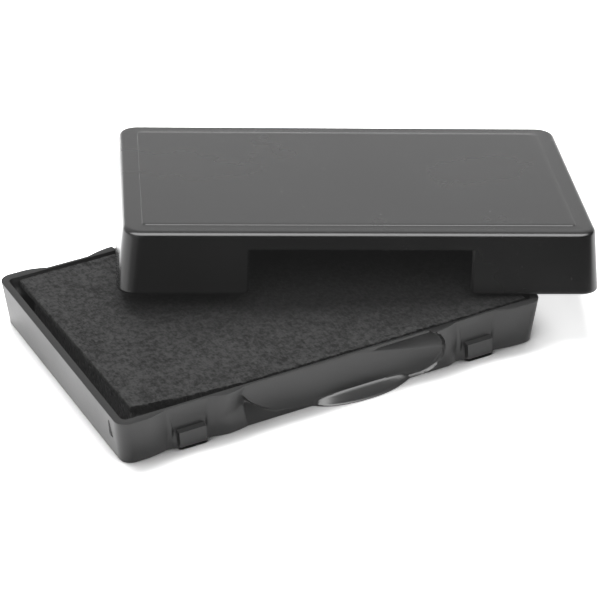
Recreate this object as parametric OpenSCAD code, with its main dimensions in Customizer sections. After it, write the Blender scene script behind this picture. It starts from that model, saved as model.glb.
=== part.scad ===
// Ink pad cartridge for a self-inking stamp: a shallow tray, an ink reservoir with its facing,
// and a storage cover that lies askew across one corner of the tray.
// Millimetres, +Z up. The origin is the centre of the tray's underside, with X along its length.

/* [Tray] */
// Length of the tray over its rim
tray_l = 62; // [60:0.5:64]
// Width of the tray over its rim
tray_w = 38.9; // [38:0.1:40]
// Height of the tray
tray_h = 6.4; // [6:0.1:7]
// Thickness of the tray's walls
tray_wall = 1.1; // [0.9:0.1:1.3]
// Thickness of the tray's floor
floor_t = 1.2; // [1:0.1:1.6]
// How far the short sides lean in, from rim to underside
end_draft = 0.7; // [0.4:0.1:0.9]
// How far the long sides lean in, from rim to underside
side_draft = 0.8; // [0.4:0.1:0.9]
// Radius of the tray's upright corners
tray_r = 1.6; // [1.2:0.1:2.5]

/* [Latch pockets] */
// Distance from the middle of the tray to a pocket's outer edge
pocket_out = 24.1; // [22:0.1:26]
// Distance from the middle of the tray to a pocket's inner edge
pocket_in = 18.2; // [17:0.1:20]
// Depth of a pocket below the rim's edge
pocket_deep = 0.35; // [0.2:0.05:0.5]
// Length of a latch lug
lug_l = 3.7; // [3:0.1:4.5]
// Height of a latch lug
lug_h = 1.9; // [1.4:0.1:2.4]
// Height of a lug's underside above the tray's underside
lug_z = 0.7; // [0.4:0.1:1.2]

/* [Finger grips] */
// Half the length of a grip at its middle height
grip_half = 15.4; // [13:0.1:16]
// Depth of a grip just under the rim
grip_deep = 0.75; // [0.4:0.05:0.8]
// Height of the rim left above a grip
grip_rim = 0.35; // [0.2:0.05:0.6]
// Middle of the lip below a grip, measured along the side
lip_x = 3.8; // [0:0.1:5]
// Half the length of the lip
lip_half = 7.1; // [5:0.1:8]
// How far the lip bulges past the underside's edge
lip_out = 1.9; // [1:0.1:2.2]
// Thickness of the lip
lip_t = 1.1; // [0.8:0.1:1.6]

/* [Pad] */
// Length of the pad
pad_l = 57.2; // [56:0.1:58]
// Width of the pad
pad_w = 34.6; // [34:0.1:35.4]
// Height of the facing's top above the tray's underside
pad_top = 6.3; // [6:0.05:6.4]
// Thickness of the facing
face_t = 0.8; // [0.5:0.1:1.2]
// Shift of the pad towards the tray's right end
pad_shift = 0.5; // [0:0.1:0.8]
// Turn of the pad in the tray, in degrees
pad_turn = 1.2; // [0:0.1:1.2]
// How far the reservoir's edge lies inside the facing's
reservoir_inset = 0.5; // [0.5:0.1:1]

/* [Cover] */
// Length of the cover's top
cover_top_l = 62.8; // [62:0.1:64]
// Width of the cover's top
cover_top_w = 39.5; // [39:0.1:41]
// Length over the cover's open edge
cover_l = 64.5; // [64.4:0.1:66]
// Width over the cover's open edge
cover_w = 41.3; // [41.3:0.1:42]
// Height of the cover
cover_h = 8.6; // [8:0.1:9.5]
// Thickness of the cover's walls
cover_wall = 1; // [0.8:0.1:1.1]
// Radius of the cover's upright corners
cover_r = 2.6; // [2:0.1:3]
// Length of the window in each long skirt
window_l = 30.2; // [28:0.1:32]
// Height of the window, up from the open edge
window_h = 6.2; // [5.5:0.1:6.6]
// Margin around the raised panel
panel_margin = 2.6; // [2:0.1:4]
// Height of the raised panel
panel_h = 0.2; // [0.1:0.05:0.3]

/* [Where the cover lies] */
// Place of the middle of the cover's open edge
cover_at = [17.3, 9.9, 4.53];
// Turn of the cover about the upright, in degrees
cover_turn = -23.6; // [-23.8:0.1:-23.4]
// Rise of the cover's front edge, in degrees
cover_rise = 8.7; // [8.7:0.02:8.74]
// Dip of the cover's right end, in degrees
cover_dip = 2.6; // [2.58:0.02:2.62]

/* [Hidden] */
$fn = 32;
skin = 0.01;
inner_r = 1;
grip_end_r = 4;
cavity_l = tray_l - 2 * tray_wall;
cavity_w = tray_w - 2 * tray_wall;
pocket_mid = (pocket_out + pocket_in) / 2;
pad_floor = floor_t + 0.05;
pad_r = 0.8;

// A flat plate with rounded upright corners, centred on the origin.
module plate(l, w, r, t) {
    linear_extrude(t)
        hull()
            for (x = [-1, 1], y = [-1, 1])
                translate([x * (l / 2 - r), y * (w / 2 - r)]) circle(r);
}

// A block that narrows evenly from one plate to another.
module drafted(low, high, h, r) {
    hull() {
        plate(low.x, low.y, r, skin);
        translate([0, 0, h - skin]) plate(high.x, high.y, r, skin);
    }
}

// Two of the same thing, one turned half round, because the tray goes into a stamp either way.
module both_sides() {
    for (turn = [0, 180]) rotate([0, 0, turn]) children();
}

// The hollow of a finger grip: deep under the rim, running out to nothing at the underside.
module grip_hollow() {
    edge = tray_w / 2;
    top = tray_h - grip_rim;
    intersection() {
        translate([-tray_l / 2, 0, 0])
            rotate([90, 0, 90])
                linear_extrude(tray_l)
                    polygon([
                        [-edge + grip_deep, top],
                        [-edge - 1, top],
                        [-edge - 1, 0],
                        [-edge + side_draft, 0]
                    ]);
        translate([0, -tray_w / 2 + 2, 0])
            rotate([90, 0, 0])
                linear_extrude(4) {
                    translate([-(grip_half - grip_end_r), -1])
                        square([2 * (grip_half - grip_end_r), tray_h]);
                    for (x = [-1, 1])
                        translate([x * (grip_half - grip_end_r), tray_h / 2]) circle(grip_end_r);
                }
    }
}

// The lip at the foot of a grip, an arc in plan.
module lip() {
    arc_r = (lip_half * lip_half + lip_out * lip_out) / (2 * lip_out);
    foot = -tray_w / 2 + side_draft;
    linear_extrude(lip_t)
        intersection() {
            translate([lip_x, foot - lip_out + arc_r]) circle(arc_r, $fn = 96);
            translate([lip_x - lip_half, foot - lip_out]) square([2 * lip_half, lip_out + 1]);
        }
}

// A latch pocket, cut straight down the side.
module pocket(x) {
    translate([x - (pocket_out - pocket_in) / 2, -tray_w / 2 - 1, -1])
        cube([pocket_out - pocket_in, 1 + pocket_deep, tray_h - grip_rim + 1]);
}

// A latch lug, standing out of its pocket as far as the rim.
module lug(x) {
    translate([x - lug_l / 2, -tray_w / 2 + 0.05, lug_z]) cube([lug_l, 1.2, lug_h]);
}

module tray() {
    color("#3a3a3b")
        union() {
            difference() {
                drafted(
                    [tray_l - 2 * end_draft, tray_w - 2 * side_draft],
                    [tray_l, tray_w],
                    tray_h,
                    tray_r
                );
                translate([0, 0, floor_t])
                    drafted(
                        [cavity_l - 2 * end_draft, cavity_w - 2 * side_draft],
                        [cavity_l, cavity_w],
                        tray_h,
                        inner_r
                    );
                both_sides() {
                    grip_hollow();
                    for (x = [-1, 1]) pocket(x * pocket_mid);
                }
            }
            both_sides() {
                lip();
                for (x = [-1, 1]) lug(x * pocket_mid);
            }
        }
}

// Puts a pad layer where it lies in the tray.
module in_tray() {
    translate([pad_shift, 0, 0]) rotate([0, 0, pad_turn]) children();
}

module ink_reservoir() {
    color("#2b2b2e")
        in_tray()
            translate([0, 0, pad_floor])
                plate(
                    pad_l - 2 * reservoir_inset,
                    pad_w - 2 * reservoir_inset,
                    pad_r,
                    pad_top - face_t - pad_floor
                );
}

module pad_facing() {
    color("#4b4b4e")
        in_tray()
            translate([0, 0, pad_top - face_t])
                plate(pad_l, pad_w, pad_r, face_t);
}

// The cover standing level, its open edge on the plane z = 0.
module cover_shape() {
    difference() {
        union() {
            drafted([cover_l, cover_w], [cover_top_l, cover_top_w], cover_h - panel_h, cover_r);
            translate([0, 0, cover_h - panel_h - skin])
                plate(
                    cover_top_l - 2 * panel_margin,
                    cover_top_w - 2 * panel_margin,
                    cover_r / 2,
                    panel_h + skin
                );
        }
        translate([0, 0, -skin])
            drafted(
                [cover_l - 2 * cover_wall, cover_w - 2 * cover_wall],
                [cover_top_l - 2 * cover_wall, cover_top_w - 2 * cover_wall],
                cover_h - panel_h - cover_wall,
                cover_r - cover_wall
            );
        translate([-window_l / 2, -cover_w, -1]) cube([window_l, 2 * cover_w, window_h + 1]);
    }
}

module cover() {
    color("#303031")
        translate(cover_at)
            rotate([0, 0, cover_turn])
                rotate([-cover_rise, 0, 0])
                    rotate([0, cover_dip, 0])
                        cover_shape();
}

tray();
ink_reservoir();
pad_facing();
cover();
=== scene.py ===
# %% [markdown]
# # An ink pad and its cover, built as skins of rings
#
# The object is a replacement pad for a self-inking stamp: a shallow black tray, a block of foam that
# holds the ink, a felt facing over it, and a storage cover that somebody has laid across one corner.
# The design file already gives every part its size and place, so this script only makes them look
# real. Each moulding is a *loft*: a stack of closed rings with the same number of points, joined by
# quads. A moulding has draft, ribs and rounded rims, and all of them are easy to say ring by ring.

# %% Load the frame
import math

import bmesh
import bpy
import numpy as np
from mathutils import Euler, Matrix, Vector, noise


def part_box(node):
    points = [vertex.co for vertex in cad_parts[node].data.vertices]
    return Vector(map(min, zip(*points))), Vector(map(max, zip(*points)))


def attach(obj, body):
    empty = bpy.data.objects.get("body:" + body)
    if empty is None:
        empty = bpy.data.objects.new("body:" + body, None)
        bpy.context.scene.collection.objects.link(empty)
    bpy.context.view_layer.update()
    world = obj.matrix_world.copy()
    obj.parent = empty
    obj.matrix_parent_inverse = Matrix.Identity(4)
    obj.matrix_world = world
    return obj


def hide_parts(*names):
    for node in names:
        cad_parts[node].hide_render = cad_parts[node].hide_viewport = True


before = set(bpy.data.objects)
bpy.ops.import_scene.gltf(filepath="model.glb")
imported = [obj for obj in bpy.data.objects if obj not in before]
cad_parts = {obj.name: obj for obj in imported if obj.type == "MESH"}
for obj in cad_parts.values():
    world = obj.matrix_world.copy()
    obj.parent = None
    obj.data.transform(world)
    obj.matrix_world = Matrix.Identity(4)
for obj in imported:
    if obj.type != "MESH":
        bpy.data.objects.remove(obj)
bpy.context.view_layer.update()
MM = 0.001

# %% [markdown]
# ## Sizes
#
# The tray's length and height come from the frame. What the frame can't say, such as where a pocket
# starts, is named once, in millimetres, and every shape below is worked out from these values. The
# names follow one scheme: L, W, H, R and T stand for length, width, height, radius and thickness, AT
# says where something lies, and two values in brackets say where a soft step starts and ends.

# %% Sizes of the tray
tray_low, tray_high = (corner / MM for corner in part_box("tray"))
TRAY_L = tray_high.x - tray_low.x
TRAY_H = tray_high.z - tray_low.z
END_DRAFT = 0.7
CORNER_R = 1.7
RIM_W = 1.0
RIM_INNER = 18.4
FLOOR_T = 1.2
print(f"tray {TRAY_L:.1f} mm long and {TRAY_H:.1f} mm high")

# %% Sizes of the cover
COVER_AT = Vector((17.3, 9.9, 4.53))
COVER_TURN, COVER_RISE, COVER_DIP = (math.radians(a) for a in (-23.6, 8.7, 2.6))
COVER_L, COVER_W = 64.46, 41.22
COVER_TOP_L, COVER_TOP_W = 62.75, 39.5
COVER_H = 8.62
COVER_WALL = 1.0
COVER_R = 2.6
WINDOW_HALF, WINDOW_H = 14.8, 5.95
PANEL_H, PANEL_MARGIN = 0.09, 2.5
cover_pose = (
    Matrix.Translation(COVER_AT * MM)
    @ Euler((0, 0, COVER_TURN)).to_matrix().to_4x4()
    @ Euler((-COVER_RISE, 0, 0)).to_matrix().to_4x4()
    @ Euler((0, COVER_DIP, 0)).to_matrix().to_4x4()
)
print("the cover leans", round(math.degrees(COVER_RISE), 1), "degrees")

# %% [markdown]
# ## Camera, floor and light
#
# The view is from the front left, looking down about 33 degrees through a long lens, so that
# parallel edges stay nearly parallel. Black plastic shows little colour of its own: what one sees
# in it is the room. To show a black thing well, one lights the room and not the thing. This
# room is a white table under a pale dome with a dark quarter at the front right, which keeps the
# faces turned that way black, and a bright part high in front, which draws the light line along the
# cover's edge. One softbox lights the table and the felt from above.

# %% Camera
VIEW_TURN, VIEW_HEIGHT = math.radians(-27.92), math.radians(33.09)
VIEW_AT = Vector((3.4, -2.54, 5.0)) * MM
VIEW_DISTANCE = 360.95 * MM
LENS, SENSOR = 161.8, 36
to_viewer = Vector((
    math.sin(VIEW_TURN) * math.cos(VIEW_HEIGHT),
    -math.cos(VIEW_TURN) * math.cos(VIEW_HEIGHT),
    math.sin(VIEW_HEIGHT),
))
camera_data = bpy.data.cameras.new("camera")
camera_data.lens = LENS
camera_data.sensor_width = SENSOR
camera_data.clip_start = 0.01
camera = bpy.data.objects.new("camera", camera_data)
bpy.context.scene.collection.objects.link(camera)
camera.location = VIEW_AT + to_viewer * VIEW_DISTANCE
camera.rotation_euler = Euler((math.pi / 2 - VIEW_HEIGHT, 0, VIEW_TURN))
bpy.context.scene.camera = camera
bpy.context.scene.view_settings.view_transform = "Standard"
bpy.context.scene.view_settings.use_curve_mapping = True
VEIL = 0.009
bpy.context.scene.view_settings.curve_mapping.black_level = (-VEIL, -VEIL, -VEIL)
print("camera at", [round(c, 3) for c in camera.location])


# %% Small helpers for node trees
def add(tree, kind, settings=None, inputs=None):
    """Adds a node, sets its properties and its input values, and hands it back."""
    node = tree.nodes.new(kind)
    for name, value in (settings or {}).items():
        setattr(node, name, value)
    for name, value in (inputs or {}).items():
        node.inputs[name].default_value = value
    return node


def link(tree, source, target):
    """Joins an output socket to an input socket."""
    tree.links.new(source, target)


def step_node(tree, source, low, high, to_low=0.0, to_high=1.0):
    """A soft step of a value between low and high."""
    sizes = {"From Min": low, "From Max": high, "To Min": to_low, "To Max": to_high}
    node = add(tree, "ShaderNodeMapRange", {"interpolation_type": "SMOOTHSTEP"}, sizes)
    link(tree, source, node.inputs["Value"])
    return node.outputs[0]


def math_node(tree, operation, first, second):
    """A sum, product, maximum and so on of two sockets or numbers."""
    node = add(tree, "ShaderNodeMath", {"operation": operation})
    for place, value in enumerate((first, second)):
        if isinstance(value, (int, float)):
            node.inputs[place].default_value = value
        else:
            link(tree, value, node.inputs[place])
    return node.outputs[0]


def toward_front(tree, place, turn=COVER_TURN):
    """How far a place or a direction lies in front, where front is turned away from -Y by turn."""
    front = Vector((math.sin(turn), -math.cos(turn), 0))
    dot = add(tree, "ShaderNodeVectorMath", {"operation": "DOT_PRODUCT"}, {1: front})
    link(tree, place, dot.inputs[0])
    return dot.outputs["Value"]


def new_finish(name, settings):
    """A new material, its node tree and its Principled shader with some constant values."""
    finish = bpy.data.materials.new(name)
    finish.use_nodes = True
    shader = finish.node_tree.nodes["Principled BSDF"]
    for socket, value in settings.items():
        shader.inputs[socket].default_value = value
    return finish, finish.node_tree, shader


def paint_greys(tree, shader, first, second, mask):
    """Gives the shader a base colour between two greys, by a mask."""
    paint = add(tree, "ShaderNodeMix", {"data_type": "RGBA"})
    paint.inputs["A"].default_value = (first, first, first, 1)
    paint.inputs["B"].default_value = (second, second, second, 1)
    link(tree, mask, paint.inputs["Factor"])
    link(tree, paint.outputs["Result"], shader.inputs["Base Color"])


def add_bumps(tree, shader, height, depth):
    """Gives the shader bumps that are so many metres deep."""
    bump = add(tree, "ShaderNodeBump", inputs={"Strength": 1.0, "Distance": depth})
    link(tree, height, bump.inputs["Height"])
    link(tree, bump.outputs["Normal"], shader.inputs["Normal"])


print("node helpers ready")

# %% [markdown]
# ### The table
#
# The table is one large white sheet that glows, so that it is white everywhere to the eye. Close to
# the pad the glow fades by as much as an Ambient Occlusion node finds covered, and that is the soft
# shadow the pad stands in. In the plastic's reflections the sheet glows less, and turns dark a
# little in front of the pad, which is what a black card lying there would do. Blender's Light Path
# node tells what the eye sees from what the plastic mirrors.

# %% Table
TABLE_HALF = 1.2
TABLE_WHITE, CARD_BLACK = 0.88, 0.02
CARD_START, CARD_FULL = 0.031, 0.046
TABLE_GLOW, MIRROR_GLOW = 0.8, 0.48
SHADE_REACH, SHADE_GLOW = 0.006, -0.1
SHADE_FULL, SHADE_NONE = 0.3, 1.0
table_mesh = bpy.data.meshes.new("table")
table_corners = [(x * TABLE_HALF, y * TABLE_HALF, 0) for x, y in ((-1, -1), (1, -1), (1, 1), (-1, 1))]
table_mesh.from_pydata(table_corners, [], [(0, 1, 2, 3)])
table = bpy.data.objects.new("table", table_mesh)
bpy.context.scene.collection.objects.link(table)
table_look = {"Roughness": 0.9, "Specular IOR Level": 0.1, "Emission Color": (1, 1, 1, 1)}
table_finish, tree, shader = new_finish("white_table", table_look)
place = add(tree, "ShaderNodeNewGeometry")
rays = add(tree, "ShaderNodeLightPath")
card = step_node(tree, toward_front(tree, place.outputs["Position"], 0), CARD_START, CARD_FULL)
card = math_node(tree, "MULTIPLY", card, rays.outputs["Is Glossy Ray"])
paint_greys(tree, shader, TABLE_WHITE, CARD_BLACK, card)
near = add(tree, "ShaderNodeAmbientOcclusion", {"samples": 16}, {"Distance": SHADE_REACH})
shade = step_node(tree, near.outputs["AO"], SHADE_FULL, SHADE_NONE, SHADE_GLOW, TABLE_GLOW)
seen = math_node(tree, "MULTIPLY", rays.outputs["Is Camera Ray"], shade)
mirrored = math_node(tree, "MULTIPLY", rays.outputs["Is Glossy Ray"], MIRROR_GLOW)
mirrored = math_node(tree, "MULTIPLY", mirrored, math_node(tree, "SUBTRACT", 1.0, card))
link(tree, math_node(tree, "ADD", seen, mirrored), shader.inputs["Emission Strength"])
table_mesh.materials.append(table_finish)
print("table", TABLE_HALF * 2, "m wide")

# %% [markdown]
# ### Softbox and dome
#
# A softbox is an area light. This one is kept out of reflections, where its hard outline would draw
# lines on the rims. The dome is the world around the scene, and its direction says how bright it is:
# Z is the height, and a dot product says how far to the front it lies. The bright part is there for
# reflections only, and for soft light the whole dome is weaker, so the two can be set apart.

# %% Softbox
SOFTBOX_AT = Vector((0.03, 0.25, 0.46))
SOFTBOX_WIDTH, SOFTBOX_DEPTH, SOFTBOX_POWER = 0.5, 0.32, 7.0
box_light = bpy.data.lights.new("top_box", "AREA")
box_light.shape = "RECTANGLE"
box_light.size = SOFTBOX_WIDTH
box_light.size_y = SOFTBOX_DEPTH
box_light.energy = SOFTBOX_POWER
top_box = bpy.data.objects.new("top_box", box_light)
bpy.context.scene.collection.objects.link(top_box)
top_box.location = SOFTBOX_AT
top_box.rotation_euler = (VIEW_AT - SOFTBOX_AT).to_track_quat("-Z", "Y").to_euler()
top_box.visible_glossy = False
print("softbox", box_light.energy, "W")

# %% Dome
DOME_PALE, DOME_DARK, DOME_BRIGHT, DOME_DIFFUSE = 0.95, 0.04, 9.5, 0.3
DARK_AT, PALE_AT = 0.5, 0.05
PALE_ABOVE = (0.45, 0.8)
BRIGHT_ABOVE, BRIGHT_IN_FRONT = (0.4, 0.6), (-0.05, 0.2)
world = bpy.data.worlds.new("dome")
bpy.context.scene.world = world
world.use_nodes = True
tree = world.node_tree
tree.nodes.clear()
way = add(tree, "ShaderNodeTexCoord")
split = add(tree, "ShaderNodeSeparateXYZ")
link(tree, way.outputs["Generated"], split.inputs[0])
beside = step_node(tree, toward_front(tree, way.outputs["Generated"], -VIEW_TURN), DARK_AT, PALE_AT)
above = step_node(tree, split.outputs["Z"], *PALE_ABOVE)
lit = math_node(tree, "MAXIMUM", beside, above)
rays = add(tree, "ShaderNodeLightPath")
lit = math_node(tree, "MAXIMUM", lit, rays.outputs["Is Camera Ray"])
high = step_node(tree, split.outputs["Z"], *BRIGHT_ABOVE)
facing = step_node(tree, toward_front(tree, way.outputs["Generated"]), *BRIGHT_IN_FRONT)
bright = math_node(tree, "MULTIPLY", high, facing)
bright = math_node(tree, "MULTIPLY", bright, rays.outputs["Is Glossy Ray"])
bright = math_node(tree, "MULTIPLY", bright, DOME_BRIGHT)
glow = add(tree, "ShaderNodeBackground")
even = step_node(tree, lit, 0, 1, DOME_DARK, DOME_PALE)
share = step_node(tree, rays.outputs["Is Diffuse Ray"], 0, 1, 1, DOME_DIFFUSE)
even = math_node(tree, "MULTIPLY", even, share)
link(tree, math_node(tree, "ADD", even, bright), glow.inputs["Strength"])
out = add(tree, "ShaderNodeOutputWorld")
link(tree, glow.outputs[0], out.inputs[0])
print("dome from", DOME_DARK, "to", DOME_PALE)

# %% [markdown]
# ## Rings and lofts
#
# One ring is a rounded rectangle. Its points along a long side keep fixed places along X, however
# long the ring is, so a rib or a window edge runs straight up through the whole stack; only the
# short stretch before each corner gives way. The back half of a ring is its front half turned half
# round. A loft joins the rings and closes both ends.

# %% The ring
ARC_STEPS = 8
STRETCH_STEPS = 4
NEAREST = 0.02


def stretched(marks, reach):
    """The fixed marks, with a few more points out to plus and minus reach."""
    more = np.linspace(marks[-1], reach, STRETCH_STEPS + 1)[1:]
    return np.concatenate([-more[::-1], marks, more])


def ring(half_l, half_w, radius, marks, end_marks, z, side=None, end=None):
    """A closed rounded rectangle at height z. side and end may shape its straight parts."""
    xs = stretched(marks, half_l - radius)
    ys = stretched(end_marks, half_w - radius)
    front = np.stack([xs, -(np.full(len(xs), half_w) if side is None else side(xs))], 1)
    right = np.stack([np.full(len(ys), half_l) if end is None else end(ys), ys], 1)
    turns = np.linspace(0, math.pi / 2, ARC_STEPS + 1)[1:-1]

    def corner(x, y, start):
        return np.stack([x + radius * np.cos(start + turns), y + radius * np.sin(start + turns)], 1)

    low_right = corner(half_l - radius, -(half_w - radius), -math.pi / 2)
    high_right = corner(half_l - radius, half_w - radius, 0)
    half = np.concatenate([front, low_right, right, high_right])
    flat = np.concatenate([half, -half])
    return np.column_stack([flat, np.full(len(flat), z)])


def spaced(values):
    """The values in order, without those that nearly repeat the one before."""
    values = np.sort(values)
    return values[np.concatenate([[True], np.diff(values) > NEAREST])]


def even_marks(half, step, extra=()):
    """Evenly spaced marks from -half to half, with extra ones where an edge needs them."""
    return spaced(np.concatenate([np.arange(-half, half + step / 2, step), extra]))


print("a plain ring has", len(ring(30, 20, 2, even_marks(27, 1), even_marks(15, 1), 0)), "points")


# %% The loft
def skin(name, points, faces, sharp=35):
    """A mesh in metres from points in millimetres, smooth apart from its sharp edges."""
    mesh = bpy.data.meshes.new(name)
    mesh.from_pydata((np.asarray(points) * MM).tolist(), [], faces)
    work = bmesh.new()
    work.from_mesh(mesh)
    bmesh.ops.recalc_face_normals(work, faces=work.faces)
    for face in work.faces:
        face.smooth = True
    for edge in work.edges:
        edge.smooth = edge.calc_face_angle(0) < math.radians(sharp)
    work.to_mesh(mesh)
    work.free()
    obj = bpy.data.objects.new(name, mesh)
    bpy.context.scene.collection.objects.link(obj)
    print(name, len(mesh.polygons), "faces")
    return obj


def cap_faces(first, count, across):
    """A flat cap: strips from the front side to the back side, and what is left at both ends."""
    half = count // 2
    faces = [
        (first + i, first + i + 1, first + half + across - 2 - i, first + half + across - 1 - i)
        for i in range(across - 1)
    ]
    right = range(first + across - 1, first + half + 1)
    left = [*range(first + half + across - 1, first + count), first]
    return faces + [tuple(right), tuple(left)]


def ring_faces(rings, across):
    """Quads between each ring and the next, and a cap at each end. across is a front's points."""
    count = len(rings[0])
    faces = [
        (row * count + i, row * count + j, (row + 1) * count + j, (row + 1) * count + i)
        for row in range(len(rings) - 1)
        for i, j in zip(range(count), [*range(1, count), 0])
    ]
    last = (len(rings) - 1) * count
    return faces + cap_faces(0, count, across) + cap_faces(last, count, across)


def loft(name, rings, marks, sharp=35):
    """A closed skin over a stack of rings."""
    return skin(name, np.concatenate(rings), ring_faces(rings, len(marks) + 2 * STRETCH_STEPS), sharp)


def soft(low, high, value):
    """0 before low, 1 after high, and a soft step between."""
    t = np.clip((value - low) / (high - low), 0, 1)
    return t * t * (3 - 2 * t)


# %% [markdown]
# ## The tray's long sides
#
# A long side of the tray isn't flat. Seen from above it is a row of shallow swells with latch
# pockets between them and a finger grip in the middle. The easiest way to build it is as a relief:
# a function says how far the wall stands out at a place x along the side and a height z. The rings
# then follow that relief, and nothing has to be cut. The functions take a whole row of places at
# once, as an array, so choices are made with where, maximum and clip instead of if.

# %% The swells
LINE_FOOT, LINE_TOP = 18.62, 18.76
SWELL_FOOT, SWELL_TOP = 0.5, 0.8
CORNER_SWELL_L, LEFT_SWELL_L = 3.4, 3.0
RIGHT_SWELL_FOOT_L, RIGHT_SWELL_TOP_L = 1.4, 4.0
POCKETS = ((-24.2, -18.3), (18.1, 24.0))
GRIP_START, GRIP_END = -12.85, 16.1


def rising(foot, top, z):
    """A size that changes evenly from the foot of the tray to its rim."""
    return foot + (top - foot) * z / TRAY_H


def line_out(z):
    """The line from which the swells rise: the rim over a pocket, and the foot between swells."""
    return rising(LINE_FOOT, LINE_TOP, z)


def swell(along, length, z):
    """A swell that rises over a length and then keeps its height."""
    return rising(SWELL_FOOT, SWELL_TOP, z) * np.sin(math.pi / 2 * np.clip(along / length, 0, 1))


def swells_out(x, z):
    """The side with its four swells: two at the corners and two beside the grip."""
    (left_low, left_high), (right_low, right_high) = POCKETS
    corners = swell(left_low - x, CORNER_SWELL_L, z) + swell(x - right_high, CORNER_SWELL_L, z)
    left = swell(x - left_high, LEFT_SWELL_L, z)
    right = swell(right_low - x, rising(RIGHT_SWELL_FOOT_L, RIGHT_SWELL_TOP_L, z), z)
    return line_out(z) + corners + np.where(x < 0, left, right)


print("corner swell at the rim", round(float(swells_out(-28.0, TRAY_H)), 2), "mm from the middle")

# %% [markdown]
# ### The finger grip
#
# The grip is scooped out of the middle so that a nail can pull the pad out of its stamp. On the
# left the swell rolls in to a low cove, and a raised face starts behind a curved edge. On the
# right the face ends in a round hollow, with a wedge under the rim that leans back. Below it a lip
# bulges out for the nail. Circles give the curved edges and soft steps give the rolls.

# %% Sizes of the grip
FACE_EDGE_AT, FACE_EDGE_R, FACE_EDGE_W = (-5.75, 9.75), 9.3, 0.3
FACE_EDGE_PULL, FACE_EDGE_PULL_X = 0.6, (-9.5, -7.0)
FACE_FOOT, FACE_FOOT_RISE, FACE_FOOT_Z = 18.4, 0.32, 0.5
FACE_RIM, FACE_RIM_RISE = 18.8, 0.22
FACE_FOOT_X, FACE_RIM_X = (-9.0, -2.0), (6.0, 13.0)
HOLLOW_AT, HOLLOW_R, HOLLOW_FOOT_Z = (12.9, 3.4), 3.2, 0.15
HOLLOW_STEEP, HOLLOW_GENTLE = 0.2, 0.35
HOLLOW_STEEP_Z, HOLLOW_GENTLE_Z = 3.4, 1.2
COVE_FOOT, COVE_LEAN, COVE_Z, COVE_END_Z = 18.75, 0.4, 3.0, 7.0
ROLL_FOOT, ROLL_SHIFT, ROLL_SHIFT_Z, ROLL_END = -15.6, 1.6, (0.3, 3.0), 1.45
WEDGE_AT, WEDGE_RISE, WEDGE_LEAN, WEDGE_CURVE = 3.3, 0.236, 0.32, 1.2
WEDGE_BELOW_RIM, WEDGE_LEAST = 0.15, 0.05
BESIDE_FOOT, BESIDE_RISE, BESIDE_RISE_X = 18.95, 0.2, (0.0, 9.0)
BESIDE_SWELL_X, BESIDE_END_X = 9, 12
HALVES_MEET_X = (-4.0, -1.0)
print("the grip runs from", GRIP_START, "to", GRIP_END, "mm")


# %% The face of the grip
def face_out(x, z):
    """The raised face: upright on the left, and leaning back under the rim on the right."""
    foot = FACE_FOOT + FACE_FOOT_RISE * soft(*FACE_FOOT_X, x)
    rim = FACE_RIM + FACE_RIM_RISE * soft(*FACE_RIM_X, x)
    up = np.clip((z - FACE_FOOT_Z) / (TRAY_H - FACE_FOOT_Z), 0, 1)
    wedge = np.maximum(WEDGE_RISE * (x - WEDGE_AT), WEDGE_LEAST)
    over = np.clip(z - (TRAY_H - WEDGE_BELOW_RIM - wedge), 0, wedge)
    return foot + (rim - foot) * up - WEDGE_LEAN * wedge * (over / wedge) ** WEDGE_CURVE


def cove_out(z):
    """The cove: it leans back evenly up to COVE_Z, then softly out again to the rim."""
    return COVE_FOOT - COVE_LEAN * np.minimum(z, COVE_Z) * (1 - soft(COVE_Z, COVE_END_Z, z))


def hollow_out(x, z, beside, face):
    """The face seen inside the round hollow, with a wall that is steep at the edge."""
    hollow_x, hollow_z = HOLLOW_AT
    from_round = HOLLOW_R - np.hypot(np.maximum(x - hollow_x, 0), z - hollow_z)
    inside = np.where(x > hollow_x, from_round, z - HOLLOW_FOOT_Z)
    width = HOLLOW_STEEP + HOLLOW_GENTLE * soft(HOLLOW_STEEP_Z, HOLLOW_GENTLE_Z, z)
    depth = np.clip(inside / width, 0, 1)
    return beside + (face - beside) * np.sqrt(1 - (1 - depth) ** 2)


def grip_left(x, z, out):
    """The left half of the grip: the swell rolls in to the cove, and the face starts behind it.

    The roll is a piece of a cosine, and ROLL_END is the angle at which it meets the cove.
    """
    roll_start = ROLL_FOOT - ROLL_SHIFT * soft(*ROLL_SHIFT_Z, z)
    roll = np.clip((x - roll_start) / (GRIP_START - roll_start), 0, 1)
    cove = cove_out(z)
    rolled = np.where(x < GRIP_START, cove + (out - cove) * np.cos(ROLL_END * roll), cove)
    edge_x, edge_z = FACE_EDGE_AT
    inside = FACE_EDGE_R - np.hypot(np.minimum(x - edge_x, 0), z - edge_z)
    inside = inside + FACE_EDGE_PULL * soft(*FACE_EDGE_PULL_X, x)
    face = cove + (face_out(x, z) - cove) * soft(0.0, FACE_EDGE_W, inside)
    return np.where(inside > 0, np.maximum(rolled, face), rolled)


def grip_right(x, z, out):
    """The right half of the grip: the face ends in the round hollow, beside a standing swell."""
    foot = BESIDE_FOOT + BESIDE_RISE * soft(*BESIDE_RISE_X, x)
    beside = np.where(x > BESIDE_SWELL_X, np.maximum(out, foot), foot)
    beside = np.where(x > BESIDE_END_X, out, beside)
    return hollow_out(x, z, beside, face_out(x, z))


def grip_out(x, z, out):
    """Puts both halves of the grip in place of the swell, with a soft change between them."""
    left = grip_left(x, z, out)
    grip = left + (grip_right(x, z, out) - left) * soft(*HALVES_MEET_X, x)
    return np.where(x < GRIP_END, grip, out)


print("face at the middle of the grip", round(float(face_out(2.0, 3.0)), 2), "mm out")


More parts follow.
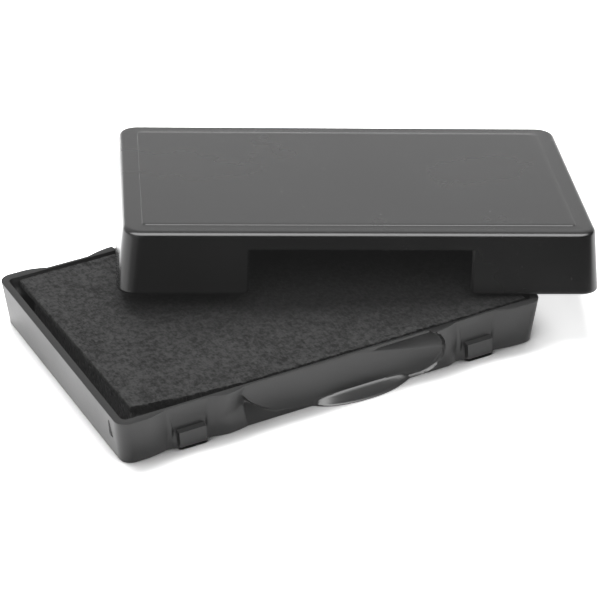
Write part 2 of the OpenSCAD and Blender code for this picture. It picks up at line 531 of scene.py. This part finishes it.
# %% The nail lip and the rim over the grip
LIP_AT, LIP_HALF = 3.8, 7.1
LIP_OUT, LIP_TOP, LIP_EDGE = 1.75, 0.9, 0.2
LIP_LEFT_POWER, LIP_RIGHT_POWER = 2.4, 2.2
RIM_BAND, RIM_BAND_EDGE = 0.34, 0.12
RIM_FROM_X, RIM_TO_X = (-16.5, -13.5), (14.2, 14.9)


def lip_out(x, z):
    """How far the lip stands out beyond the foot of the face."""
    u = np.clip((x - LIP_AT) / LIP_HALF, -1, 1)
    plan = 1 - np.abs(u) ** np.where(u < 0, LIP_LEFT_POWER, LIP_RIGHT_POWER)
    return LIP_OUT * plan * np.clip((LIP_TOP - z) / (LIP_TOP - LIP_EDGE), 0, 1)


def rim_out(x, z, out):
    """Keeps a thin band of rim running straight over the grip."""
    over_grip = soft(*RIM_FROM_X, x) * (1 - soft(*RIM_TO_X, x))
    band = soft(TRAY_H - RIM_BAND - RIM_BAND_EDGE, TRAY_H - RIM_BAND, z) * over_grip
    return out + np.maximum(line_out(z) - out, 0) * band


print("lip", LIP_OUT, "mm out and", LIP_TOP, "mm high")


# %% The latch pockets and their lugs
POCKET_DEEP, LEDGE_OUT, LEDGE_LOW, LEDGE_Z = 0.22, 0.27, 0.2, 2.6
FACET_RIM_W, FACET_LOW_W, FACET_Z, FACET_SHARE = 0.3, 1.0, 2.8, 0.35
LEFT_EDGE_W, RIGHT_EDGE_W = 0.15, 0.3
LUG_HALF, LUG_LOW, LUG_TOP, LUG_EDGE = 1.87, 0.3, 2.45, 0.1
LUG_ASIDE, LUG_OUT, LUG_LEAN = 0.5, 19.2, 0.14


def pocket_span(x, z, low, high):
    """1 inside a pocket. Its left edge is a facet between two steps, which widens downwards."""
    facet = FACET_RIM_W + (FACET_LOW_W - FACET_RIM_W) * soft(TRAY_H, FACET_Z, z)
    span = FACET_SHARE * soft(low, low + LEFT_EDGE_W, x)
    span = span + (1 - FACET_SHARE) * soft(low + facet - LEFT_EDGE_W, low + facet, x)
    return span * (1 - soft(high - RIGHT_EDGE_W, high, x))


def pocket_wall(x, z, low, high):
    """The back wall of a pocket, with a bowed ledge at its foot."""
    middle = (low + high) / 2
    u = np.clip((x - middle) / (high - middle), -1, 1)
    above = soft(LEDGE_LOW, LEDGE_Z, z)
    deep = POCKET_DEEP * soft(TRAY_H - 0.1, 3.0, z) * above
    return line_out(z) - deep + LEDGE_OUT * (1 - u * u) * (1 - above)


def lug_span(x, z, low, high):
    """1 on the front of the lug that stands in a pocket."""
    off = np.abs(x - (low + high) / 2 - LUG_ASIDE)
    across = soft(LUG_HALF + LUG_EDGE, LUG_HALF, off)
    return across * soft(LUG_LOW - LUG_EDGE, LUG_LOW, z) * soft(LUG_TOP + LUG_EDGE, LUG_TOP, z)


def pocket_out(x, z, out):
    """Cuts the two pockets and stands a lug in each."""
    for low, high in POCKETS:
        cut = out + (pocket_wall(x, z, low, high) - out) * pocket_span(x, z, low, high)
        out = np.where((x > low) & (x < high), cut, out)
        face = np.maximum(LUG_OUT + LUG_LEAN * (LUG_TOP - z), out)
        out = out + (face - out) * lug_span(x, z, low, high)
    return out


def side_out(x, z):
    """How far the wall stands out at x along the side and height z."""
    x = np.asarray(x, float)
    out = swells_out(x, z)
    out = rim_out(x, z, grip_out(x, z, out))
    return pocket_out(x, z, out) + lip_out(x, z)


places = (-27, -21, -15, -5, 5, 15, 21, 27)
print("at mid height", [round(float(side_out(x, 3.0)), 2) for x in places])

# %% [markdown]
# ### The tray as one loft
#
# Ring by ring: a recessed panel in the underside, the foot, up the outer wall along the relief,
# over the rim, down the inner wall and in to the floor. The pad goes into its stamp either way
# round, so the back side repeats the front side, turned half round.

# %% The outer rings of the tray
GRID, END_GRID = 0.15, 0.65
MARKS_X, MARKS_Y = 27.9, 16.9
SLOT_AT, SLOT_LOW, SLOT_HIGH = 16.1, 2.9, 5.3
SLOT_HALF, SLOT_TAPER, SLOT_DEEP, SLOT_NEAR = 0.16, 0.16, 0.45, 0.7
lug_edges = [
    (low + high) / 2 + LUG_ASIDE + side * edge
    for low, high in POCKETS
    for side in (-1, 1)
    for edge in (LUG_HALF, LUG_HALF + LUG_EDGE)
]
TRAY_MARKS = even_marks(MARKS_X, GRID, lug_edges)
slot_marks = SLOT_AT + np.linspace(-SLOT_NEAR, SLOT_NEAR, 15)
TRAY_END_MARKS = even_marks(MARKS_Y, END_GRID, slot_marks)


def tray_end(half_l, z):
    """The short end, with a small slot near one corner that widens downwards."""
    def outline(ys):
        half = SLOT_HALF + SLOT_TAPER * (SLOT_HIGH - z)
        dip = SLOT_DEEP * np.clip(1 - ((ys - SLOT_AT) / half) ** 2, 0, 1)
        return half_l - dip * (SLOT_LOW < z < SLOT_HIGH)
    return outline


def outer_ring(height, inset=0.0):
    """One ring of the outer wall at that height, drawn in by an inset."""
    half_l = TRAY_L / 2 - END_DRAFT * (1 - height / TRAY_H) - inset
    corner = line_out(height) + rising(SWELL_FOOT, SWELL_TOP, height) - inset
    radius = CORNER_R - inset
    outline = tray_end(half_l, height)
    return ring(
        half_l, corner, radius, TRAY_MARKS, TRAY_END_MARKS, height,
        lambda xs: side_out(xs, height) - inset, outline,
    )


FOOT_R, RIM_R, RIM_GAP = 0.1, 0.02, 0.05
wall_heights = even_marks(3, GRID) + 3 + FOOT_R
wall_heights = wall_heights[wall_heights < TRAY_H - RIM_R - RIM_GAP]
key_heights = [LUG_LOW - LUG_EDGE, LUG_LOW, LUG_TOP, LUG_TOP + LUG_EDGE]
key_heights.append(TRAY_H - RIM_BAND - RIM_BAND_EDGE)
wall_heights = spaced(np.concatenate([wall_heights, key_heights]))
print(len(wall_heights), "rings up the wall")

# %% Build the tray
CAVITY_R, CAVITY_REACH, CAVITY_DRAFT = 0.8, 16.5, 0.4
RECESS_L, RECESS_W, RECESS_Z, RECESS_DRAFT = 28.9, 17.2, 0.3, 0.15
UNDER_RIM, BEHIND_POCKETS = 0.3, 0.95
UNDER_RIM_Z, BEHIND_POCKETS_Z = (6.2, 5.8), (5.6, 3.6)
INNER_HEIGHTS = (6.0, 5.6, 5.2, 4.8, 4.4, 4.0, 3.6, FLOOR_T)


def plain_ring(half_l, half_w, z):
    """A ring with straight sides, with as many points as the outer rings."""
    return ring(half_l, half_w, min(CAVITY_R, half_w - CAVITY_REACH), TRAY_MARKS, TRAY_END_MARKS, z)


def inner_ring(z, inset=0.0):
    """One ring of the inner wall, which thickens below the rim to back the pockets."""
    half_l = TRAY_L / 2 - RIM_W - CAVITY_DRAFT * (1 - z / TRAY_H) - inset
    thicker = UNDER_RIM * float(soft(*UNDER_RIM_Z, z)) + BEHIND_POCKETS * float(soft(*BEHIND_POCKETS_Z, z))
    return plain_ring(half_l, RIM_INNER - thicker - inset, z)


def tray_rings():
    """All rings of the tray, from the recess in the underside to the floor inside."""
    rings = [plain_ring(RECESS_L - RECESS_DRAFT, RECESS_W - 0.1, RECESS_Z)]
    rings.append(plain_ring(RECESS_L, RECESS_W, 0))
    for turn in (0, 30, 60):
        a = math.radians(turn)
        rings.append(outer_ring(FOOT_R * (1 - math.cos(a)), FOOT_R * (1 - math.sin(a))))
    rings += [outer_ring(z) for z in wall_heights]
    rim = [(math.sin(a), math.cos(a)) for a in map(math.radians, (0, 30, 60, 90))]
    rings += [outer_ring(TRAY_H - RIM_R * (1 - up), RIM_R * (1 - level)) for up, level in rim]
    rings += [inner_ring(TRAY_H - RIM_R * (1 - up), RIM_R * (level - 1)) for up, level in rim[::-1]]
    return rings + [inner_ring(z) for z in INNER_HEIGHTS]


tray = loft("tray_body", tray_rings(), TRAY_MARKS, sharp=32)
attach(tray, "tray")
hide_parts("tray")

# %% [markdown]
# ## The felt facing and the foam below it
#
# The felt is a thick sheet cut a little askew: its front left corner stops short of the rim and
# leaves a dark gap. It is soft, so its top is slightly crowned and uneven and its edge is round and
# fuzzy. Both soft parts are height fields: a grid of points in the outline, lifted by noise, with
# a rounded edge and a skirt hung from its border.

# %% The pad's height field
FELT_LOW, FELT_TOP, FELT_EDGE = 5.45, 6.25, 0.22
FELT_HALF_L, FELT_HALF_W, FELT_SHIFT = 28.75, 17.75, 0.4
ASKEW, CUT_DEEP, CUT_AT, CUT_L = 0.36, 1.75, -10.6, 17.2
CROWN, WAVES, NAP = 0.1, (0.05, 0.025), 0.012
SKIRT_END, TINY = 0.6, 1e-9


def wander(x, y, size, seed):
    """A smooth random height between about -1 and 1, with humps of that size."""
    return noise.noise(Vector((x / size, y / size, seed)))


def felt_outline(u, v):
    """Where a point of the square from -1 to 1 lies on the felt, cut askew at the front left."""
    x = FELT_SHIFT + u * FELT_HALF_L + ASKEW * (1 - u) * (1 - v) / 2
    pull = CUT_DEEP * max(0.0, min(1.0, (CUT_AT - x) / CUT_L)) ** 1.5
    y = v * FELT_HALF_W + 0.5 * pull * (1 - v)
    ragged = 0.06 * wander(x, y, 2.8, 3.0) + 0.02 * wander(x, y, 0.9, 4.0)
    return x + ragged * abs(u) ** 12, y + ragged * abs(v) ** 12


def felt_height(x, y):
    """The felt's top: a little crown, slow waves and a fine uneven nap."""
    crown = CROWN * (1 - (x / FELT_HALF_L) ** 2) * (1 - (y / FELT_HALF_W) ** 2)
    waves = WAVES[0] * wander(x, y, 9.0, 1.0) + WAVES[1] * wander(x, y, 2.6, 2.0)
    return FELT_TOP + crown + waves + NAP * wander(x, y, 0.8, 5.0)


def pad_top(outline, height, across, along):
    """The grid of a soft slab's top: its points, its faces, and the numbers of its border points."""
    points = []
    for i in range(across + 1):
        for j in range(along + 1):
            x, y = outline(2 * i / across - 1, 2 * j / along - 1)
            points.append((x, y, height(x, y)))

    def at(i, j):
        return i * (along + 1) + j

    faces = [
        (at(i, j), at(i + 1, j), at(i + 1, j + 1), at(i, j + 1))
        for i in range(across)
        for j in range(along)
    ]
    border = [at(i, 0) for i in range(across)] + [at(across, j) for j in range(along)]
    border += [at(i, along) for i in range(across, 0, -1)] + [at(0, j) for j in range(along, 0, -1)]
    return points, faces, border


def pad_piece(name, outline, height, low, edge, across, along):
    """A soft slab: a grid for its top, a rounded edge, and a skirt down to low.

    The edge is pushed out sideways. A Vector keeps short numbers, so many of the points along the
    long edges round to the wrong side of the test below and stay in. The felt's are ragged by that.
    """
    points, faces, border = pad_top(outline, height, across, along)
    top_edge = [points[i] for i in border]
    middle_x, middle_y, _ = np.mean(top_edge, 0)
    end_x = abs(top_edge[0][0]) - SKIRT_END
    rows = [border]
    for turn in (30, 60, 90):
        a = math.radians(turn)
        push, down = edge * math.sin(a), edge * (1 - math.cos(a))
        rows.append(range(len(points), len(points) + len(border)))
        for x, y, z in top_edge:
            out = Vector((x - middle_x, y - middle_y))
            at_end = abs(x) > end_x
            loose = abs(y) > abs(middle_y + out.y) - TINY
            push_x = math.copysign(push, out.x) * at_end
            push_y = math.copysign(push, out.y) * (loose and not at_end)
            points.append((x + push_x, y + push_y, z - down))
    rows.append(range(len(points), len(points) + len(border)))
    points += [(x, y, low) for x, y, z in points[-len(border):]]
    count = len(border)
    following = [*range(1, count), 0]
    for upper, lower in zip(rows, rows[1:]):
        faces += [(upper[k], lower[k], lower[n], upper[n]) for k, n in enumerate(following)]
    faces.append(tuple(rows[-1]))
    return skin(name, points, faces, sharp=60)


felt = pad_piece("felt_facing", felt_outline, felt_height, FELT_LOW, FELT_EDGE, 228, 142)
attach(felt, "tray")
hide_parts("pad_facing")


# %% The foam reservoir
FOAM_HALF_L, FOAM_HALF_W, FOAM_TOP = 27.2, 15.6, 5.38
FOAM_GAP, FOAM_EDGE = 0.06, 0.3


def foam_outline(u, v):
    """The foam block, a plain rectangle just inside the tray."""
    return FOAM_HALF_L * u, FOAM_HALF_W * v


def foam_height(x, y):
    """The foam's top, pressed nearly flat by the felt."""
    return FOAM_TOP + 0.03 * wander(x, y, 3.0, 7.0)


foam = pad_piece("foam_reservoir", foam_outline, foam_height, FLOOR_T + FOAM_GAP, FOAM_EDGE, 112, 68)
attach(foam, "tray")
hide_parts("ink_reservoir")

# %% [markdown]
# ## The cover
#
# The cover is a shallow lid with a skirt. Its top edge is rounded, a panel a tenth of a millimetre
# high is set in from the edge, and each long skirt has a window so that the lid clears the grip.
# It is one loft from the ceiling inside, round the open edge and up to the panel. The window is
# made by leaving out the faces between two fixed marks and walling the gap.

# %% Rings of the cover
WINDOW_EDGE, WINDOW_CORNER, FLARE_REACH = 0.3, 0.8, 4
POST = WINDOW_HALF + WINDOW_EDGE
MARKS_END, BESIDE_WINDOW = 26.5, WINDOW_HALF + 1.6
beside_marks = np.linspace(BESIDE_WINDOW, MARKS_END, 7)
post_marks = WINDOW_HALF + np.array([WINDOW_EDGE, 0.6, 1.0])
right_marks = np.concatenate([post_marks, beside_marks])
between_marks = np.linspace(WINDOW_EDGE - WINDOW_HALF, WINDOW_HALF - WINDOW_EDGE, 15)
COVER_MARKS = np.concatenate([-right_marks[::-1], between_marks, right_marks])
COVER_END_MARKS = np.linspace(-14.5, 14.5, 13)
EDGE_R, TOP_R, LEAST_R = 0.25, 0.6, 0.7
ROOF_T, ROOF_INSET = 1.1, 2.0
INSIDE_STEP = 0.35


def cover_ring(z, inset):
    """One ring of the cover's walls, with the draft of the walls."""
    up = z / COVER_H
    half_l = (COVER_L + (COVER_TOP_L - COVER_L) * up) / 2 - inset
    half_w = (COVER_W + (COVER_TOP_W - COVER_W) * up) / 2 - inset
    short = max(0.0, WINDOW_CORNER - z)
    flare = WINDOW_CORNER - math.sqrt(WINDOW_CORNER**2 - short**2)
    near = np.clip(1 - np.abs(np.abs(COVER_MARKS) - WINDOW_HALF) / FLARE_REACH, 0, 1)
    marks = COVER_MARKS + np.sign(COVER_MARKS) * flare * near
    return ring(half_l, half_w, max(COVER_R - inset, LEAST_R), marks, COVER_END_MARKS, z)


low_heights = [EDGE_R, 0.4, 0.55, 0.7, 1.2, 2.4, 3.6, 4.8, 5.7, WINDOW_H + WINDOW_EDGE]
high_heights = [6.8, 7.3, 7.6]
roof_z = COVER_H - ROOF_T
cover_rings = [cover_ring(roof_z, COVER_WALL + inset) for inset in (ROOF_INSET, INSIDE_STEP)]
cover_rings += [cover_ring(z, COVER_WALL) for z in reversed(low_heights + high_heights[:2])]
inside_edge = len(cover_rings) - 1
turns = [math.radians(a) for a in (30, 60, 90)]
edge_turns = [(EDGE_R * (1 - math.sin(a)), EDGE_R * (1 - math.cos(a))) for a in turns]
cover_rings += [cover_ring(z, COVER_WALL - inset) for z, inset in edge_turns]
cover_rings += [cover_ring(z, inset) for z, inset in reversed(edge_turns)]
outside_edge = len(cover_rings)
cover_rings += [cover_ring(z, 0) for z in low_heights + high_heights]
print(len(cover_rings), "rings; the open edge lies between", inside_edge, "and", outside_edge)

# %% Top of the cover
BEVEL = 0.005
brim_z = COVER_H - PANEL_H
for a in map(math.radians, range(0, 91, 10)):
    cover_rings.append(cover_ring(brim_z - TOP_R * (1 - math.sin(a)), TOP_R * (1 - math.cos(a))))
panel_steps = (
    (brim_z, TOP_R + 0.5),
    (brim_z, PANEL_MARGIN - 0.06),
    (brim_z + BEVEL, PANEL_MARGIN),
    (COVER_H - 2 * BEVEL, PANEL_MARGIN + 0.05),
    (COVER_H, PANEL_MARGIN + 0.1),
    (COVER_H, PANEL_MARGIN + 0.8),
)
cover_rings += [cover_ring(z, inset) for z, inset in panel_steps]
print(len(cover_rings), "rings in all")


# %% Windows of the cover
def window_columns():
    """The ring places of the two window posts on the front, and the same on the back."""
    half = len(cover_rings[0]) // 2
    front = [STRETCH_STEPS + int(np.argmin(np.abs(COVER_MARKS - post))) for post in (-POST, POST)]
    return front, [i + half for i in front]


def cover_skin():
    """The loft with its windows left out and walled."""
    count = len(cover_rings[0])
    inside_top = inside_edge - len(low_heights) + 1
    outside_top = outside_edge + len(low_heights) - 1
    points = [tuple(p) for p in np.concatenate(cover_rings)]
    faces = ring_faces(cover_rings, len(COVER_MARKS) + 2 * STRETCH_STEPS)
    for first, last in window_columns():
        gone = {(row, i) for row in range(inside_top, outside_top) for i in range(first, last)}
        faces = [
            None if face and len(face) == 4 and divmod(number, count) in gone else face
            for number, face in enumerate(faces)
        ]
        path_in = [(row, first) for row in range(inside_edge, inside_top, -1)]
        path_in += [(inside_top, i) for i in range(first, last + 1)]
        path_in += [(row, last) for row in range(inside_top + 1, inside_edge + 1)]
        path_out = [(outside_edge + inside_edge - row, i) for row, i in path_in]
        rims = []
        for path, turn in ((path_out, 1), (path_in, -1)):
            rim = []
            for row, i in path:
                x, y, z = points[row * count + i]
                at_post = i in (first, last)
                at_top = row in (inside_top, outside_top)
                to_middle = -math.copysign(WINDOW_EDGE, x) * at_post
                into_wall = -math.copysign(WINDOW_EDGE, y) * turn
                rim.append(len(points))
                points.append((x + to_middle, y + into_wall, z - WINDOW_EDGE * at_top))
            rims.append(rim)
        outer = [row * count + i for row, i in path_out]
        inner = [row * count + i for row, i in path_in]
        loops = [outer, rims[0], rims[1], inner]
        for one, two in zip(loops, loops[1:]):
            faces += [(one[k], one[k + 1], two[k + 1], two[k]) for k in range(len(one) - 1)]
        for end, column in ((0, first), (-1, last)):
            edge = [row * count + column for row in range(inside_edge, outside_edge + 1)]
            faces.append(tuple(edge + [rims[0][end], rims[1][end]]))
    return points, [face for face in faces if face]


cover_points, cover_faces = cover_skin()
cover = skin("cover_shell", cover_points, cover_faces, sharp=35)
cover.data.transform(cover_pose)
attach(cover, "cover")
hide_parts("cover")

# %% [markdown]
# ## Finishes
#
# Both mouldings are black styrene. The tray has the dull, finely grained skin of a spark-eroded
# mould; the cover is smoother and shows soft reflections. Plastic that has been handled isn't
# evenly shiny, so a shared group gives a grain for the bump, a slow cloud for the roughness, and
# specks of dust for both roughness and colour. Each noise says how fine it is by its scale, in
# humps per metre.

# %% Shared effects
def group_of(name, sockets_in, sockets_out):
    """An empty node group with named sockets."""
    group = bpy.data.node_groups.new(name, "ShaderNodeTree")
    for socket, value in sockets_in.items():
        made = group.interface.new_socket(socket, in_out="INPUT", socket_type="NodeSocketFloat")
        made.default_value = value
    for socket in sockets_out:
        group.interface.new_socket(socket, in_out="OUTPUT", socket_type="NodeSocketFloat")
    return group, add(group, "NodeGroupInput"), add(group, "NodeGroupOutput")


def noise_node(tree, place, scale, detail, rough=0.5):
    """A noise texture at that place, with the scale from a socket or a number."""
    node = add(tree, "ShaderNodeTexNoise", inputs={"Detail": detail, "Roughness": rough})
    link(tree, place, node.inputs["Vector"])
    if isinstance(scale, (int, float)):
        node.inputs["Scale"].default_value = scale
    else:
        link(tree, scale, node.inputs["Scale"])
    return node.outputs["Fac"]


GRAIN_FINE, CLOUD_FINE, DUST_FINE = 3000.0, 60.0, 1900.0
DUST_EDGES = (0.68, 0.78)
moulded_skin, come, go = group_of(
    "moulded_skin",
    {"Grain per metre": GRAIN_FINE, "Cloud per metre": CLOUD_FINE},
    ("Grain", "Cloud", "Specks"),
)
spot = add(moulded_skin, "ShaderNodeTexCoord").outputs["Object"]
grain = noise_node(moulded_skin, spot, come.outputs["Grain per metre"], 2)
cloud = noise_node(moulded_skin, spot, come.outputs["Cloud per metre"], 4)
dust = noise_node(moulded_skin, spot, DUST_FINE, 3, 0.6)
link(moulded_skin, grain, go.inputs["Grain"])
link(moulded_skin, cloud, go.inputs["Cloud"])
link(moulded_skin, step_node(moulded_skin, dust, *DUST_EDGES), go.inputs["Specks"])
print("group", moulded_skin.name)


# %% Black plastic
ROUGH_SWING = 0.04
DUST_ROUGH, DUST_TINT, CLOUD_TINT, DUSTY = 0.06, 0.25, 0.12, 2.4
ROUGH_EDGES, TINT_EDGES = (0.3, 0.7), (0.35, 0.75)


def black_plastic(name, colour, rough, grain, grain_depth):
    """Black moulded plastic with grain, uneven gloss and a little dust."""
    finish, tree, shader = new_finish(name, {"Specular IOR Level": 0.5})
    effect = add(tree, "ShaderNodeGroup", {"node_tree": moulded_skin}, {"Grain per metre": grain})
    cloud, specks = effect.outputs["Cloud"], effect.outputs["Specks"]
    gloss = step_node(tree, cloud, *ROUGH_EDGES, rough - ROUGH_SWING, rough + ROUGH_SWING)
    gloss = math_node(tree, "ADD", gloss, math_node(tree, "MULTIPLY", specks, DUST_ROUGH))
    link(tree, gloss, shader.inputs["Roughness"])
    tint = math_node(tree, "MULTIPLY", specks, DUST_TINT)
    tint = math_node(tree, "ADD", tint, step_node(tree, cloud, *TINT_EDGES, 0, CLOUD_TINT))
    paint_greys(tree, shader, colour, colour * DUSTY, tint)
    add_bumps(tree, shader, effect.outputs["Grain"], grain_depth)
    return finish


tray.data.materials.append(black_plastic("grained_black", 0.007, 0.33, 3200.0, 0.00001))
cover.data.materials.append(black_plastic("satin_black", 0.008, 0.24, 2600.0, 0.000004))
print("plastics", [m.name for m in bpy.data.materials if "black" in m.name])

# %% [markdown]
# ### Felt and foam
#
# Felt is a mat of short fibres that lie every way. Seen from a hand's breadth it is mottled: pale
# fibre ends over darker, inky hollows less than a millimetre across. Three noises do it: patches,
# blotches and short stretched fibres. The foam has round open cells instead.

# %% Felt
FELT_DARK, FELT_PALE, FELT_TONES = 0.008, 0.034, (1.15, 1.95)
PATCHES_FINE, BLOTCHES_FINE, FIBRES_FINE = 260.0, 1500.0, 3600.0
PATCH_SHARE, BLOTCH_SHARE, FELT_DEPTH = 0.5, 1.6, 0.00012


def felt_finish():
    """Inky charcoal felt."""
    look = {"Roughness": 0.95, "Specular IOR Level": 0.15}
    finish, tree, shader = new_finish("inky_felt", look)
    spot = add(tree, "ShaderNodeTexCoord").outputs["Object"]
    stretch = add(tree, "ShaderNodeMapping", inputs={"Scale": (1.0, 0.45, 1.0)})
    link(tree, spot, stretch.inputs["Vector"])
    patches = noise_node(tree, spot, PATCHES_FINE, 3)
    blotches = noise_node(tree, spot, BLOTCHES_FINE, 4, 0.62)
    fibres = noise_node(tree, stretch.outputs[0], FIBRES_FINE, 3, 0.6)
    height = math_node(tree, "ADD", math_node(tree, "MULTIPLY", blotches, BLOTCH_SHARE), fibres)
    tone = math_node(tree, "ADD", math_node(tree, "MULTIPLY", patches, PATCH_SHARE), height)
    paint_greys(tree, shader, FELT_DARK, FELT_PALE, step_node(tree, tone, *FELT_TONES))
    add_bumps(tree, shader, height, FELT_DEPTH)
    return finish


felt.data.materials.append(felt_finish())
print("felt", felt.data.materials[0].name)


# %% Foam
FOAM_DARK, FOAM_PALE, CELL_EDGES = 0.008, 0.025, (0.1, 0.6)
CELLS_FINE, CELL_DEPTH, CELL_ROUGH = 1400.0, 0.00015, (0.6, 0.9)


def foam_finish():
    """Ink-soaked open-cell foam."""
    finish, tree, shader = new_finish("inky_foam", {})
    spot = add(tree, "ShaderNodeTexCoord").outputs["Object"]
    cells = add(tree, "ShaderNodeTexVoronoi", inputs={"Scale": CELLS_FINE})
    link(tree, spot, cells.inputs["Vector"])
    walls = step_node(tree, cells.outputs["Distance"], *CELL_EDGES)
    paint_greys(tree, shader, FOAM_DARK, FOAM_PALE, walls)
    rough = step_node(tree, cells.outputs["Distance"], *CELL_EDGES, *CELL_ROUGH)
    link(tree, rough, shader.inputs["Roughness"])
    add_bumps(tree, shader, walls, CELL_DEPTH)
    return finish


foam.data.materials.append(foam_finish())
print("soft parts", felt.name, foam.name)
